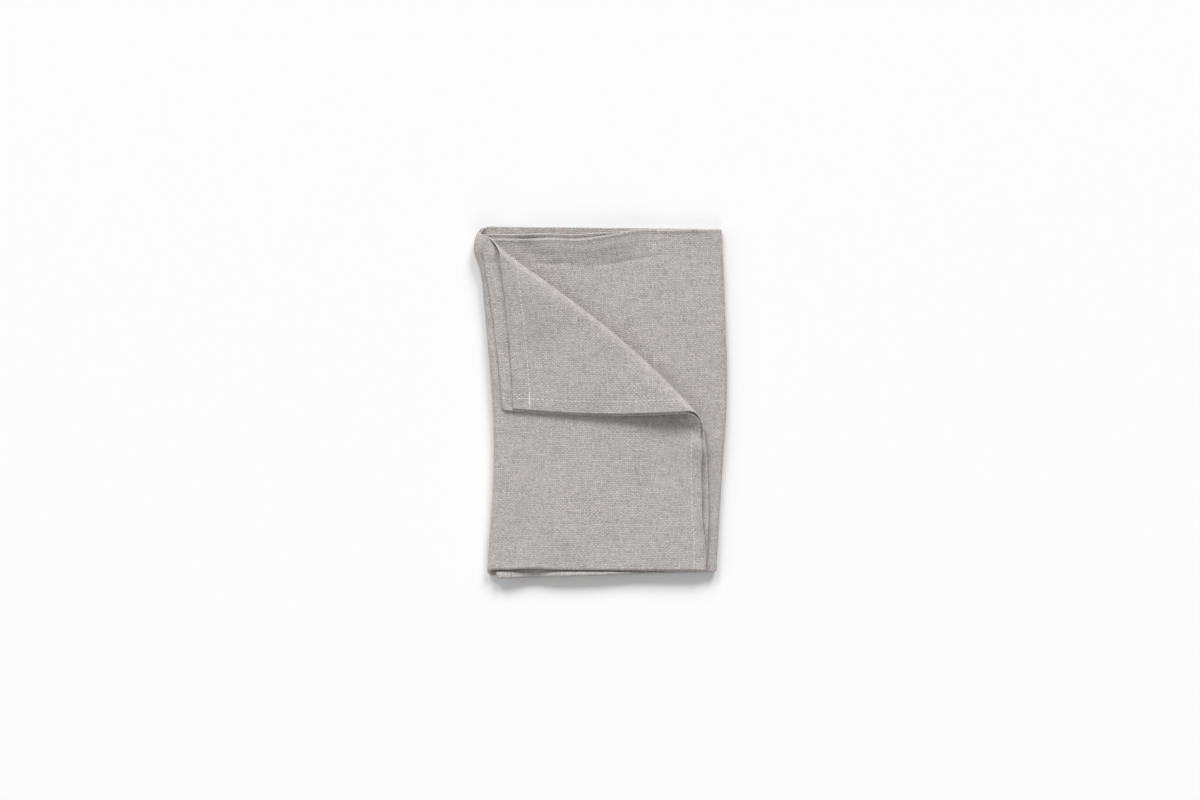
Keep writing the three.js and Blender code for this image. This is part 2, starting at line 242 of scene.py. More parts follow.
# Steps of the mesh along the ply, across it, and round its folds
COLUMNS = {"middle": 54, "right_fold": 12, "bottom": 10, "left_fold": 16}
NEAR_HEM = np.array([0, 0.6, 1.4, 3.0, 5.0, 6.3, 7.0, 7.7, 8.3, 9.1, 9.8, 10.9, 11.9, 12.9])
PANEL_STITCH, LOW_STITCH, LEFT_STITCH = 6, 8, 12
NEAR_CREASE = np.arange(13.9, 22, 1.0)
NEAR_FOLD = np.array([0, 0.6, 1.2, 1.9, 2.6, 3.4, 4.3, 5.4, 7.0])
TOP_STEP = 2.2
ROW_STEP = 2.4
HAIRPIN_STEPS = 6
ROLL_STEPS = 16
# Keeps divisors above zero
TINY = 1e-12


def lerp(low, high, share):
    return low + (high - low) * share


def smooth(value, low, high):
    """0 below low and 1 above high, eased between them."""
    share = np.clip((value - low) / (high - low), 0, 1)
    return share * share * (3 - 2 * share)


def bell(value, centre, width):
    return np.exp(-(((value - centre) / width) ** 2))


def reader(spots, values):
    """Reads a table's column smoothly, and holds it beyond both ends."""
    rises = np.diff(values) / np.diff(spots)
    slopes = np.concatenate([rises[:1], (rises[:-1] + rises[1:]) / 2, rises[-1:]])

    def read(spot):
        spot = np.clip(spot, spots[0], spots[-1])
        i = np.clip(np.searchsorted(spots, spot, side="right") - 1, 0, len(rises) - 1)
        width = spots[i + 1] - spots[i]
        p = (spot - spots[i]) / width
        across = values[i + 1] - values[i]
        start_bend = (slopes[i] * width - across) * (1 - p)
        end_bend = (across - slopes[i + 1] * width) * p
        return values[i] + across * p + p * (1 - p) * (start_bend + end_bend)

    return read


def readers(table):
    """Reads each further column of a table along its first one."""
    return [reader(table[:, 0], column) for column in table.T[1:]]


left_edge, left_radius = readers(LEFT_FOLD)
right_edge, right_radius = readers(RIGHT_FOLD)
roll_radius, roll_rise, roll_bow, roll_lean = readers(ROLL)


def left_centre(y):
    return left_edge(y) + PLY_REACH + left_radius(y)


def right_centre(y):
    return right_edge(y) - PLY_REACH - right_radius(y)


# The roll's straight line, and the direction across it
ROLL_START = np.array([left_centre(TOP_HIGH[0]), TOP_HIGH[0]])
ROLL_END = np.array([TOP_HEM_X, TOP_HIGH[1]])
ROLL_LENGTH = np.linalg.norm(ROLL_END - ROLL_START)
ROLL_ALONG = (ROLL_END - ROLL_START) / ROLL_LENGTH
ROLL_ACROSS = np.array([-ROLL_ALONG[1], ROLL_ALONG[0]])
FLAP_DEPTH = (ROLL_START - FLAP_TIP) @ ROLL_ACROSS


def middle_height(x, y):
    beside = np.exp(-np.maximum(right_centre(y) - x, 0) / FOLD_SPREAD)
    return PLY_REACH + lerp(PLY_PITCH, 2 * right_radius(y), beside)


def top_height(x, y):
    fold_x = left_centre(y)
    beside = np.exp(-np.maximum(x - fold_x, 0) / FOLD_SPREAD)
    rise = PLY_REACH + 2 * left_radius(y) - middle_height(fold_x, y) - PLY_PITCH
    curl = CURL_LIFT * bell(np.hypot(x - ROLL_END[0], y - ROLL_END[1]), 0, CURL_SPREAD)
    return middle_height(x, y) + PLY_PITCH + rise * beside + curl


def side_row(low, high, side, row):
    """Place along Y at a panel's left (0) or right (1) end, from its half fold to its hem."""
    return lerp(low[side] + PLY_REACH, high[side], row)


def crease_depth(x, y):
    """Troughs with soft shoulders along the middle panel's creases."""
    depth = np.zeros_like(x)
    for x0, y0, x1, y1, bow, deep, wide in CREASES:
        length = math.hypot(x1 - x0, y1 - y0)
        along = ((x - x0) * (x1 - x0) + (y - y0) * (y1 - y0)) / length**2
        off = ((y - y0) * (x1 - x0) - (x - x0) * (y1 - y0)) / length
        off = off - bow * np.sin(CREASE_HALF_WAVES * np.pi * along)
        ends = smooth(along, 0, CREASE_ENDS) * (1 - smooth(along, 1 - CREASE_ENDS, 1))
        trough = bell(off, 0, wide) - CREASE_SHOULDER * bell(off, 0, CREASE_SHOULDER_WIDTH * wide)
        depth = depth + deep * ends * trough
    return depth


def middle_zone(share, row):
    low = lerp(side_row(MIDDLE_LOW, MIDDLE_HIGH, 0, 0), side_row(MIDDLE_LOW, MIDDLE_HIGH, 1, 0), share)
    wave = np.sin(2 * np.pi * share * FLAT_MIDDLE / HEM_WAVE_LENGTH) * np.sin(np.pi * share)
    high = lerp(*MIDDLE_HIGH, smooth(share, *MIDDLE_STEP)) + HEM_WAVE * wave
    y = lerp(low, high, row)
    tuck = TUCK_CLEARANCE + TUCK_OPEN * np.exp(-row * FLAT_HEIGHT / TUCK_OPEN_REACH)
    x = lerp(left_centre(y) + tuck, right_centre(y), share)
    calm = 1 - smooth(share, *MIDDLE_CALM)
    beyond = smooth(lerp(*TOP_LOW, share) - y, *STRIP_RAMP)
    puff = STRIP_PUFF * beyond * (1 - bell(x, HOLLOW_X, HOLLOW_WIDTH)) * calm
    lip = HEM_LIP * bell((1 - row) * FLAT_HEIGHT, HEM_LIP_AT, HEM_LIP_WIDE) * calm
    return x, y, middle_height(x, y) - crease_depth(x, y) + hem_swell(x, y) + puff + lip


def hem_swell(x, y):
    """How the middle panel rises to its hem, clear of the roll."""
    off_roll = (x - ROLL_START[0]) * ROLL_ACROSS[0] + (y - ROLL_START[1]) * ROLL_ACROSS[1]
    return SWELL * smooth(off_roll, *SWELL_CLEAR) * smooth(y, *SWELL_ROWS) * (1 - smooth(x, *SWELL_FADE))


def right_fold_zone(share, row):
    over = side_row(MIDDLE_LOW, MIDDLE_HIGH, 1, row)
    y = lerp(over, side_row(BOTTOM_LOW, BOTTOM_HIGH, 1, row), smooth(share, 0, 1))
    turn = np.pi * share
    x = right_centre(y) + right_radius(y) * np.sin(turn)
    return x, y, PLY_REACH + right_radius(y) * (1 + np.cos(turn))


def bottom_zone(share, row):
    right = side_row(BOTTOM_LOW, BOTTOM_HIGH, 1, row)
    y = lerp(right, side_row(BOTTOM_LOW, BOTTOM_HIGH, 0, row), share)
    return lerp(right_centre(y), left_centre(y), share), y, np.full_like(y, PLY_REACH)


def left_fold_zone(share, row):
    under = side_row(BOTTOM_LOW, BOTTOM_HIGH, 0, row)
    y = lerp(under, side_row(TOP_LOW, TOP_HIGH, 0, row), smooth(share, 0, 1))
    turn = np.pi * share
    x = left_centre(y) - left_radius(y) * np.sin(turn)
    height = PLY_REACH + left_radius(y) * (1 - np.cos(turn))
    return x, y, height - dimple_depth(x, y) * smooth(share, *DIMPLE_TURN)


def dimple_depth(x, y):
    return DIMPLE_DEEP * bell(x, DIMPLE_X, DIMPLE_WIDE) * bell(y, DIMPLE_Y, DIMPLE_LONG)


def top_zone(share, row):
    bow = roll_bow(share) * row**ROLL_BOW_POWER
    hem_x = TOP_HEM_X + TOP_HEM_BOW * np.sin(np.pi * row)
    left_y = side_row(TOP_LOW, TOP_HIGH, 0, row)
    x = lerp(left_centre(left_y), hem_x, share) + bow * ROLL_ACROSS[0]
    y = lerp(left_y, side_row(TOP_LOW, TOP_HIGH, 1, row), share) + bow * ROLL_ACROSS[1]
    arch = bell(x, HOLLOW_X, HOLLOW_WIDTH) * np.exp(-row * FLAT_HEIGHT / HOLLOW_REACH)
    y = y + HOLLOW_DENT * arch
    return x, y, top_height(x, y) + HOLLOW_ARCH * arch - dimple_depth(x, y)


def roll_share(turn, side):
    """Share of the roll's length at an angle of turn, between the corner's two hems."""
    turned = turn / np.pi
    eased = turned + ROLL_CUT_EASE * turned * (1 - turned)
    return lerp(ROLL_CUT_START * turned / ROLL_LENGTH, 1 - ROLL_CUT_END * eased / ROLL_LENGTH, side)


def roll_foot(share):
    line = ROLL_START + share[..., None] * (ROLL_END - ROLL_START)
    return line + roll_bow(share)[..., None] * ROLL_ACROSS


def roll_bulge(inward, side):
    """How far the corner swells behind the roll's edge."""
    ends = smooth(side, 0, BULGE_ENDS) * (1 - smooth(side, 1 - BULGE_ENDS, 1))
    return BULGE * ends * inward / BULGE_REACH * np.exp(1 - inward / BULGE_REACH)


def roll_points(turn, side):
    share = roll_share(turn, side)
    foot = roll_foot(share)
    over = (1 - np.cos(turn)) / 2
    height = top_height(foot[..., 0], foot[..., 1]) + roll_rise(share) * over
    inward = np.where(turn > np.pi / 2, roll_radius(share) * (1 - np.sin(turn)), 0)
    out = foot + (roll_radius(share) * np.sin(turn) + roll_lean(share) * over)[..., None] * ROLL_ACROSS
    return out[..., 0], out[..., 1], height + roll_bulge(inward, side)


def flap_points(reach, side):
    """The corner's flat part: reach runs from the roll to the tip, side from one hem to the other."""
    share = roll_share(np.pi, side)
    line = ROLL_START + share[..., None] * (ROLL_END - ROLL_START)
    foot = line + reach[..., None] * (FLAP_TIP - line)
    foot = foot + ((roll_bow(share) + roll_lean(share)) * (1 - reach))[..., None] * ROLL_ACROSS
    arch = np.sin(np.pi * reach)
    x = foot[..., 0] + FLAP_BOW_HEM * arch * (1 - side)
    y = foot[..., 1] + FLAP_BOW_LOW * arch * side
    bulge = roll_bulge(roll_radius(share) + reach * FLAP_DEPTH, side)
    return x, y, top_height(x, y) + PLY_PITCH + flap_lift(reach, side) + bulge


def flap_lift(reach, side):
    """How far the corner stands above the panel that it lies on."""
    fade = lerp(FLAP_FADE_HEM, FLAP_FADE_LOW, side)
    return (roll_rise(roll_share(np.pi, side)) - PLY_PITCH) * (1 - reach) ** fade


def from_left_hem(reach, side):
    span = (roll_share(np.pi, 1.0) - roll_share(np.pi, 0.0)) * ROLL_LENGTH
    return side * (1 - reach) * span


def flap_slip(reach, side, turned):
    """The slide of the corner's outer layer, in plan."""
    late = smooth(turned, FLAP_SLIP_TURNED, 1)
    slide = lerp(FLAP_SLIP_START, FLAP_SLIP_CORNER, reach) * late
    slide = slide * np.exp(-from_left_hem(reach, side) / FLAP_SLIP_SPREAD)
    kept = ROLL_SLIP * side**HEM_SLIP_POWER * (1 - smooth(turned, 0, ROLL_SLIP_TURNED))
    return -slide - kept, -FLAP_SLIP_LOW * side * late


def flap_heights(place, slip, reach, side, turned):
    """How far the corner's outer and inner layers are lifted off the ply's middle."""
    x, y, _ = place
    follow = top_height(x + slip[0], y + slip[1]) - top_height(x, y)
    near = from_left_hem(reach, side)
    sag = SAG * flap_lift(reach, side) * bell(near, 0, SAG_SPREAD)
    mouth = MOUTH * np.exp(-near / MOUTH_ALONG - reach * FLAP_HEM_SIDE / MOUTH_DOWN)
    apart = smooth(turned, *APART_TURN)
    return (follow - sag) * apart, mouth * apart


def side_lip(share, row):
    """How far the top panel's right hem curls up, in its outer and its inner layer."""
    loose = smooth(row, *SIDE_LIP_START) * (1 - smooth(row, *SIDE_LIP_END))
    curl = loose * bell((1 - share) * FLAP_HEM_SIDE, 0, SIDE_LIP_WIDE)
    return SIDE_LIP_OUTER * curl, SIDE_LIP_INNER * curl


# Shares and rows of the mesh, crowded at the hems and the half fold
hem_part = NEAR_HEM / FLAP_HEM_SIDE
inner_steps = round((1 - 2 * hem_part[-1]) * FLAP_HEM_SIDE / TOP_STEP)
inner_part = np.linspace(hem_part[-1], 1 - hem_part[-1], inner_steps + 1)[1:-1]
TOP_SHARES = np.concatenate([hem_part, inner_part, 1 - hem_part[::-1]])
fold_part = NEAR_FOLD / FLAT_HEIGHT
high_part = 1 - np.concatenate([NEAR_HEM, NEAR_CREASE])[::-1] / FLAT_HEIGHT
row_steps = round((high_part[0] - fold_part[-1]) * FLAT_HEIGHT / ROW_STEP)
row_part = np.linspace(fold_part[-1], high_part[0], row_steps + 1)[1:-1]
ROWS = np.concatenate([fold_part, row_part, high_part])
TOP_START = FLAT_MIDDLE + FLAT_RIGHT + FLAT_BOTTOM + FLAT_LEFT
FLAT_WIDTH = TOP_START + FLAP_HEM_SIDE


class Ply:
    """The ply's middle surface: points, slides of the outer layer, lifts of both, flat places."""

    def __init__(self):
        self.points, self.slips, self.lifts, self.flats = [], [], [], []
        self.count = 0

    def add(self, place, slip, flat, lift=(0.0, 0.0)):
        shape = np.shape(place[0])
        columns = ((self.points, place), (self.slips, slip), (self.lifts, lift), (self.flats, flat))
        for column, part in columns:
            column.append(np.stack([np.broadcast_to(x, shape).ravel() for x in part], -1))
        index = self.count + np.arange(len(self.points[-1])).reshape(shape)
        self.count += index.size
        return index


def add_panels(ply):
    """The panels and side folds: a grid of columns along the ply and rows up from the half fold."""
    zones = {
        "middle": (middle_zone, 0, FLAT_MIDDLE),
        "right_fold": (right_fold_zone, FLAT_MIDDLE, FLAT_RIGHT),
        "bottom": (bottom_zone, FLAT_MIDDLE + FLAT_RIGHT, FLAT_BOTTOM),
        "left_fold": (left_fold_zone, TOP_START - FLAT_LEFT, FLAT_LEFT),
    }
    grids = []
    for name, (zone, start, length) in zones.items():
        share, row = np.meshgrid(np.arange(COLUMNS[name]) / COLUMNS[name], ROWS, indexing="ij")
        loose = 1 - smooth(share, *MIDDLE_STEP) if name == "middle" else np.zeros_like(share)
        slip = (np.zeros_like(share), -MIDDLE_SLIP * loose * row**2)
        flat = (start + share * length, FLAT_BEND + row * FLAT_HEIGHT)
        grids.append(ply.add(zone(share, row), slip, flat))
    top = add_top_panel(ply)
    return np.concatenate(grids + [top]), top


def add_top_panel(ply):
    """The top panel, from its half fold to the roll."""
    share, row = np.meshgrid(TOP_SHARES, ROWS, indexing="ij")
    slid = smooth(row, *TOP_SLIP_ROWS) * lerp(TOP_SLIP, ROLL_SLIP, smooth(row, *ROLL_SLIP_ROWS))
    slip = (-slid * share**HEM_SLIP_POWER, np.zeros_like(share))
    flat = (TOP_START + share * FLAP_HEM_SIDE, FLAT_BEND + row * (FLAT_HEIGHT - share * FLAP_LOW_SIDE))
    return ply.add(top_zone(share, row), slip, flat, side_lip(share, row))


def add_corner(ply, top):
    """The roll as bands from the top panel's last row, and the flap as a triangle of rows."""
    steps = len(TOP_SHARES) - 1
    turned, side = np.meshgrid(np.arange(1, ROLL_STEPS + 1) / ROLL_STEPS, TOP_SHARES, indexing="ij")
    flat_u = FLAT_WIDTH - (1 - side) * (FLAP_HEM_SIDE - FLAT_ROLL_START * turned)
    flat_v = FLAT_BEND + FLAT_HEIGHT - side * (FLAP_LOW_SIDE - FLAT_ROLL_END * turned)
    place, slip = roll_points(np.pi * turned, side), flap_slip(0, side, turned)
    bands = ply.add(place, slip, (flat_u, flat_v), flap_heights(place, slip, 0, side, turned))
    bands = np.concatenate([top[:, -1][None], bands])

    i, j = np.nonzero(np.add.outer(np.arange(steps + 1), np.arange(steps + 1)) < steps)
    from_hem, from_low = TOP_SHARES[i], TOP_SHARES[j]
    reach = 1 - from_hem - from_low
    side = from_hem / np.maximum(from_hem + from_low, TINY)
    flat_u = FLAT_WIDTH - from_low * (FLAP_HEM_SIDE - FLAT_ROLL_START)
    flat_v = FLAT_BEND + FLAT_HEIGHT - from_hem * (FLAP_LOW_SIDE - FLAT_ROLL_END)
    place, slip = flap_points(reach, side), flap_slip(reach, side, 1)
    index = ply.add(place, slip, (flat_u, flat_v), flap_heights(place, slip, reach, side, 1))
    flap = np.full((steps + 1, steps + 1), -1)
    flap[i, j] = index
    flap[np.arange(steps + 1), steps - np.arange(steps + 1)] = bands[-1]
    return bands, flap


def quads_of(grid):
    """Faces of a grid whose first index runs along the ply and whose second runs up it."""
    corners = grid[:-1, :-1], grid[1:, :-1], grid[1:, 1:], grid[:-1, 1:]
    return np.stack([corner.ravel() for corner in corners], 1)


def lofted(points):
    """The stack made softly uneven: all layers above the lowest rise and sink together."""
    x, y, z = points.T
    swell = np.zeros_like(x)
    for angle, length, phase, amount in LOFT_WAVES:
        along = x * math.cos(math.radians(angle)) + y * math.sin(math.radians(angle))
        swell = swell + amount * np.sin(2 * np.pi * along / length + phase)
    return np.column_stack([x, y, PLY_REACH + (z - PLY_REACH) * (1 + swell)])


def build_ply():
    ply = Ply()
    panels, top = add_panels(ply)
    bands, flap = add_corner(ply, top)
    steps = len(flap) - 1
    i, j = np.nonzero(np.add.outer(np.arange(steps), np.arange(steps)) < steps - 1)
    flap_quads = np.stack([flap[i + 1, j], flap[i, j], flap[i, j + 1], flap[i + 1, j + 1]], 1)
    i = np.arange(steps)
    flap_ends = np.stack([flap[i, steps - i], flap[i + 1, steps - 1 - i], flap[i, steps - 1 - i]], 1)
    quads = np.concatenate([quads_of(panels), quads_of(bands.T), flap_quads])
    ply.faces = quads.tolist() + flap_ends.tolist()
    ply.points, ply.slips = lofted(np.concatenate(ply.points)), np.concatenate(ply.slips)
    ply.lifts, ply.flats = np.concatenate(ply.lifts), np.concatenate(ply.flats)
    ply.panels, ply.top, ply.bands, ply.flap = panels, top, bands, flap
    return ply


def unit(vectors):
    return vectors / np.maximum(np.linalg.norm(vectors, axis=-1, keepdims=True), TINY)


def face_normals(points, faces):
    """Normals at the points, weighted by the area of the faces round them."""
    normals = np.zeros_like(points)
    for size in (3, 4):
        sized = np.array([face for face in faces if len(face) == size])
        a, b = points[sized[:, 2]] - points[sized[:, 0]], points[sized[:, -1]] - points[sized[:, 1]]
        for corner in sized.T:
            np.add.at(normals, corner, np.cross(a, b))
    return unit(normals)


def hem_edges(ply):
    """The ply's hemmed edges: those of a single face, apart from the half-fold line."""
    on_fold = set(ply.panels[:, 0].tolist())
    edges = {(face[k - 1], face[k]) for face in ply.faces for k in range(len(face))}
    return [
        (a, b) for a, b in edges if (b, a) not in edges and not (a in on_fold and b in on_fold)
    ]


class Sheet:
    """Vertices, flat places and faces of the closed cloth."""

    def __init__(self):
        self.points, self.flats, self.faces = [], [], []
        self.count = 0

    def add(self, points, flats):
        index = self.count + np.arange(len(points))
        self.points.append(points)
        self.flats.append(flats)
        self.count += len(points)
        return index

    def strip(self, near, far):
        quads = np.stack([near[:-1], near[1:], far[1:], far[:-1]], 1)
        self.faces += quads.tolist()


def hem_depth(flats):
    """1 within a hem and 0 outside it, and how near a place is to the hem's stitches."""
    ends = np.minimum(flats[:, 0], FLAT_WIDTH - flats[:, 0])
    high = FLAT_HEIGHT + FLAT_BEND - flats[:, 1]
    inside = np.maximum(
        1 - smooth(ends, SIDE_HEM - HEM_EASE, SIDE_HEM + HEM_EASE),
        1 - smooth(high, TOP_HEM - HEM_EASE, TOP_HEM + HEM_EASE),
    )
    line = np.maximum(bell(ends, SIDE_HEM, HEM_EASE), bell(high, TOP_HEM, HEM_EASE))
    return inside, line


def build_sheet(ply):
    """The closed sheet: two layers with two faces each, their rounded hems, and the half fold."""
    normals = face_normals(ply.points, ply.faces)
    sheet = Sheet()
    layers = add_layers(sheet, ply, normals)
    rims, outward = add_rims(sheet, ply, normals, layers)
    bends = add_bends(sheet, ply, normals, layers)
    close_bend(sheet, bends, rims, ply.panels[:, 0], outward)
    return sheet, layers


def add_layers(sheet, ply, normals):
    """Both layers with their two faces, thicker in the hems and grooved along the stitches."""
    hem, groove = hem_depth(ply.flats)
    outside = (PLY_REACH - HEM_GROOVE * groove)[:, None] * normals
    inside = (FACE_INSIDE - HEM_THICKER * hem)[:, None] * normals
    slid = ply.points + np.column_stack([ply.slips, ply.lifts[:, 0]])
    held = ply.points + ply.lifts[:, 1:] * (0, 0, 1)
    mirrored = ply.flats * (1, -1)
    outer = sheet.add(slid + outside, ply.flats), sheet.add(slid + inside, ply.flats)
    inner = sheet.add(held - inside, mirrored), sheet.add(held - outside, mirrored)
    for top, under in (outer, inner):
        sheet.faces += [[int(top[k]) for k in face] for face in ply.faces]
        sheet.faces += [[int(under[k]) for k in reversed(face)] for face in ply.faces]
    return {"outer": outer, "inner": inner}


def add_rims(sheet, ply, normals, layers):
    """Rounds off both layers' hems. Also gives the direction that each hem faces."""
    edges = np.array(hem_edges(ply))
    used = np.unique(edges)
    a, b = edges.T
    along = ply.points[b] - ply.points[a]
    outward = np.zeros_like(ply.points)
    for end in (a, b):
        np.add.at(outward, end, unit(np.cross(along, normals[end])))
    outward = unit(outward)
    rims = []
    for top, under in layers.values():
        points, flats = np.concatenate(sheet.points), np.concatenate(sheet.flats)
        middle = (points[top] + points[under]) / 2 + RIM_ROUND * outward
        rim = np.zeros(len(top), int)
        rim[used] = sheet.add(middle[used], flats[top[used]])
        for near, far in ((top, rim), (rim, under)):
            sheet.faces += np.stack([near[b], near[a], far[a], far[b]], 1).tolist()
        rims.append(rim)
    return rims, outward


def add_bends(sheet, ply, normals, layers):
    """The half fold's bend, outside and inside, as lines of points from layer to layer."""
    fold = ply.panels[:, 0]
    middle, away = ply.points[fold], normals[fold]
    down = middle - ply.points[ply.panels[:, 1]]
    down = unit(down - (down * away).sum(1)[:, None] * away)
    outer, inner = layers["outer"], layers["inner"]
    bends = {}
    for name, start, end in (("outside", outer[0], inner[1]), ("inside", outer[1], inner[0])):
        from_middle = np.concatenate(sheet.points)[start[fold]] - middle
        reach = np.linalg.norm(from_middle, axis=1)[:, None]
        lines = [start[fold]]
        for k in range(1, HAIRPIN_STEPS):
            turn = np.pi * k / HAIRPIN_STEPS
            bend = middle + reach * (math.cos(turn) * away + math.sin(turn) * down)
            flat_v = np.full(len(fold), FLAT_BEND * math.cos(turn))
            lines.append(sheet.add(bend, np.stack([ply.flats[fold, 0], flat_v], 1)))
        bends[name] = lines + [end[fold]]
    for k in range(HAIRPIN_STEPS):
        sheet.strip(bends["outside"][k + 1], bends["outside"][k])
        sheet.strip(bends["inside"][k], bends["inside"][k + 1])
    return bends


def close_bend(sheet, bends, rims, fold, outward):
    """Rounds off the half fold's bend at the ply's two ends."""
    for end, flip in ((0, False), (-1, True)):
        points = np.concatenate(sheet.points)
        flats = np.concatenate(sheet.flats)
        middle = [rims[0][fold[end]]]
        for k in range(1, HAIRPIN_STEPS):
            pair = [bends[name][k][end] for name in ("outside", "inside")]
            spot = points[pair].mean(0) + RIM_ROUND * outward[fold[end]]
            middle.append(sheet.add(spot[None], flats[pair[:1]])[0])
        middle.append(rims[1][fold[end]])
        outside = [line[end] for line in bends["outside"]]
        inside = [line[end] for line in bends["inside"]]
        for near, far in ((outside, middle), (middle, inside)):
            for k in range(HAIRPIN_STEPS):
                face = [near[k], far[k], far[k + 1], near[k + 1]]
                sheet.faces.append([int(v) for v in (face[::-1] if flip else face)])


def make_object(name, points, faces, material, flats=None):
    """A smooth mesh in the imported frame, with the cloth's flat places in millimetres as its UVs."""
    mesh = bpy.data.meshes.new(name)
    mesh.from_pydata(((points - PLAN_CENTRE) * MM).tolist(), [], faces)
    if flats is not None:
        layer = mesh.uv_layers.new(name="flat")
        corners = np.zeros(len(mesh.loops), int)
        mesh.loops.foreach_get("vertex_index", corners)
        layer.uv.foreach_set("vector", flats[corners].astype(np.float32).ravel())
    mesh.polygons.foreach_set("use_smooth", np.ones(len(mesh.polygons), bool))
    mesh.materials.append(material)
    mesh.validate()
    made = bpy.data.objects.new(name, mesh)
    bpy.context.scene.collection.objects.link(made)
    return made


class Thread:
    """Tubes of sewing thread, joined into one mesh."""

    def __init__(self):
        self.points, self.faces = [], []
        self.count = 0

    def add(self, path, normal):
        """Adds tubes along paths of points, whose ends taper."""
        rings = path.shape[1]
        taper = lerp(STITCH_TAPER, 1, np.sin(np.pi * np.linspace(0, 1, rings)))
        along = unit(np.gradient(path, axis=1))
        side = unit(np.cross(normal, along))[..., None, :]
        angles = 2 * np.pi * np.arange(STITCH_SIDES)[:, None] / STITCH_SIDES
        ring = side * np.cos(angles) + normal[..., None, :] * np.sin(angles)
        tubes = path[..., None, :] + THREAD * taper[:, None, None] * ring
        index = self.count + np.arange(tubes[..., 0].size).reshape(tubes.shape[:3])
        near, far = index[:, :-1], index[:, 1:]
        turned = np.roll(np.arange(STITCH_SIDES), -1)
        quads = np.stack([near, near[..., turned], far[..., turned], far], -1)
        self.faces += quads.reshape(-1, 4).tolist()
        self.faces += index[:, 0, ::-1].tolist() + index[:, -1].tolist()
        self.points.append(tubes.reshape(-1, 3))
        self.count += index.size

    def sew(self, line, normal, start=0.0, stop=None, pitch=STITCH_PITCH, aside=0.0):
        """Adds a row of stitches along a line on the cloth's face."""
        steps = np.linalg.norm(np.diff(line, axis=0), axis=1)
        spots = np.concatenate([[0], np.cumsum(steps)])
        first = np.arange(start, (stop or spots[-1]) - STITCH, pitch)
        share = np.linspace(0, 1, STITCH_RINGS)
        at = first[:, None] + share * STITCH
        path = np.stack([np.interp(at, spots, column) for column in line.T], -1)
        up = unit(np.stack([np.interp(at, spots, column) for column in normal.T], -1))
        across = unit(np.cross(up, np.gradient(path, axis=1)))
        rise = THREAD * (STITCH_RISE * np.sin(np.pi * share) - STITCH_SINK)
        self.add(path + rise[:, None] * up + aside * across, up)


def sew_hems(ply, sheet, layers):
    """Stitches on both faces of both layers, along the corner's two hems and the top panel's."""
    normals = face_normals(ply.points, ply.faces)
    points = np.concatenate(sheet.points)
    steps = len(TOP_SHARES) - 1
    panel = ply.top[steps - PANEL_STITCH]
    corner = ply.flap[steps - LOW_STITCH - 1 :: -1, LOW_STITCH]
    low_hem = np.concatenate([panel, ply.bands[1:, steps - LOW_STITCH], corner])
    low_start = np.concatenate([panel, ply.bands[1:, steps - PANEL_STITCH], corner])
    roll_turned = np.arange(1, ROLL_STEPS + 1) / ROLL_STEPS
    turned = np.concatenate([np.ones(len(panel)), roll_turned, np.ones(len(corner))])
    left_corner = ply.flap[LEFT_STITCH, : steps - LEFT_STITCH + 1]
    left_hem = np.concatenate([left_corner, ply.bands[-2::-1, LEFT_STITCH]])
    thread = Thread()
    for faces in layers.values():
        for face, sign in zip(faces, (1, -1)):
            low = lerp(points[face[low_start]], points[face[low_hem]], turned[:, None])
            thread.sew(low, sign * normals[low_hem])
            thread.sew(points[face[left_hem]], sign * normals[left_hem])
    upper = layers["inner"][1][left_hem]
    for aside in BACK_TACK_ROWS:
        start = BACK_TACK_FROM + BACK_TACK_STAGGER * aside
        thread.sew(points[upper], -normals[left_hem], start, start + BACK_TACK_LONG, STITCH, aside)
    return thread


class Graph:
    """Short ways to add and link the nodes of a material."""

    def __init__(self, material):
        self.tree = material.node_tree

    def put(self, socket, value):
        if isinstance(value, bpy.types.NodeSocket):
            self.tree.links.new(value, socket)
        else:
            socket.default_value = value

    def node(self, kind, settings=None, **inputs):
        node = self.tree.nodes.new(kind)
        for name, value in (settings or {}).items():
            setattr(node, name, value)
        for name, value in inputs.items():
            self.put(node.inputs[name.replace("_", " ")], value)
        return node

    def math(self, operation, *terms):
        node = self.node("ShaderNodeMath", {"operation": operation})
        for socket, term in zip(node.inputs, terms):
            self.put(socket, term)
        return node.outputs[0]

    def mix(self, share, low, high):
        return self.math("MULTIPLY_ADD", share, self.math("SUBTRACT", high, low), low)

    def scaled(self, length, *places):
        """Places counted in steps of a length."""
        return [self.math("DIVIDE", place, length) for place in places]

    def noise(self, x, y, z, detail=0.0):
        """Noise about 0, from about -0.5 to 0.5."""
        place = self.node("ShaderNodeCombineXYZ", X=x, Y=y, Z=z).outputs[0]
        noise = self.node("ShaderNodeTexNoise", Vector=place, Scale=1.0, Detail=detail)
        return self.math("SUBTRACT", noise.outputs["Fac"], 0.5)


def count_yarns(g, along, up):
    """Places across the warp and the weft, counted in yarns that wander a little."""
    wide = g.scaled(YARN_DRIFT_LENGTH, along, up)
    yarns = []
    for axis, seed in ((along, SEED["warp"]), (up, SEED["weft"])):
        drift = g.noise(*wide, seed, detail=2.0)
        yarns.append(g.math("DIVIDE", g.math("MULTIPLY_ADD", drift, YARN_DRIFT, axis), YARN))
    return yarns


def yarn_slubs(g, along, up, counts):
    """Thick and thin places along each weft yarn, and along each warp yarn."""
    slub_x, slub_y = g.scaled(SLUB_LENGTH, along, up)
    warp, weft = (g.math("MULTIPLY", count, SLUB_STRIDE) for count in counts)
    weft_slub = g.noise(slub_x, weft, SEED["weft_slub"], detail=1.0)
    warp_slub = g.noise(warp, slub_y, SEED["warp_slub"], detail=1.0)
    return weft_slub, warp_slub


